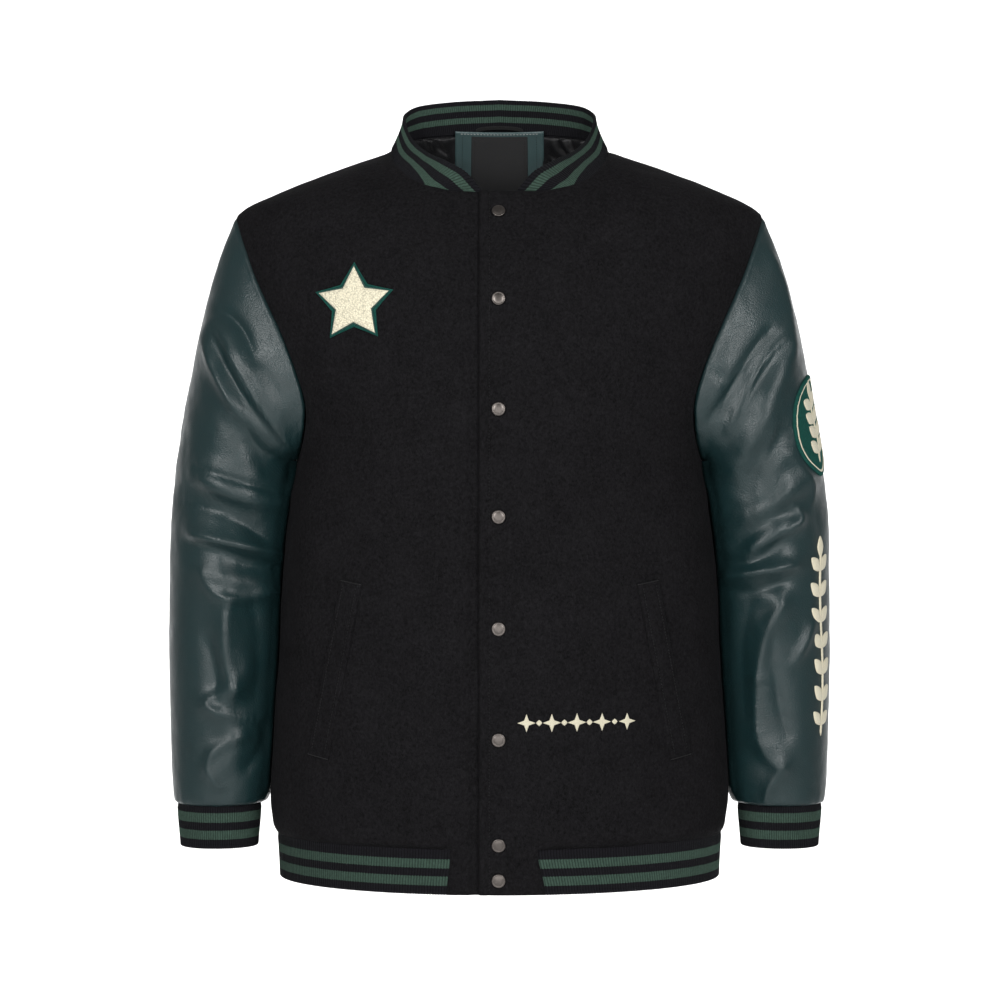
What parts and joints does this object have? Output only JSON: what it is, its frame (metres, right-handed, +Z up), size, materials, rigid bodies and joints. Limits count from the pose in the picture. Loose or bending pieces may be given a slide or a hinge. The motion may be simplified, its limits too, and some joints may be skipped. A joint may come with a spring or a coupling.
{
  "type": "varsity jacket",
  "caption": "Varsity jacket filled out as worn: wool-look body, leather-look sleeves, striped rib collar, cuffs and hem, a snap front and a chenille star on the chest.",
  "frame": {"origin": "middle of the neck opening, level with the points where the shoulder seams meet the collar", "axes": "+X towards the wearer's left, +Y towards the wearer's back, +Z up"},
  "size_m": [0.708, 0.3284, 0.8336],
  "materials": {
    "wool": "black melton wool, short matt nap",
    "leather_look": "dark green coated cloth, fine grain, soft gloss",
    "rib_knit": "black and green striped rib knit",
    "lining": "black satin",
    "label": "plain dark woven label",
    "felt": "dark green felt",
    "chenille": "cream chenille loops and satin stitch",
    "snap_metal": "antique nickel"
  },
  "bodies": {
    "root": {"front_left": "wool", "front_right": "wool", "back": "wool", "sleeve_left": "leather_look", "sleeve_right": "leather_look", "cuff_left": "rib_knit", "cuff_right": "rib_knit", "hem_rib": "rib_knit", "collar_rib": "rib_knit", "back_lining": "lining", "neck_patch": "leather_look", "neck_label": "label", "chest_patch_felt": "felt", "chest_patch_star": "chenille", "sleeve_patch_felt": "felt", "sleeve_patch_leaves": "chenille", "sleeve_sprig": "chenille", "pocket_welt_left": "wool", "pocket_welt_right": "wool", "snap_1": "snap_metal", "snap_2": "snap_metal", "snap_3": "snap_metal", "snap_4": "snap_metal", "snap_5": "snap_metal", "snap_6": "snap_metal", "snap_7": "snap_metal", "snap_8": "snap_metal"}
  },
  "joints": []
}
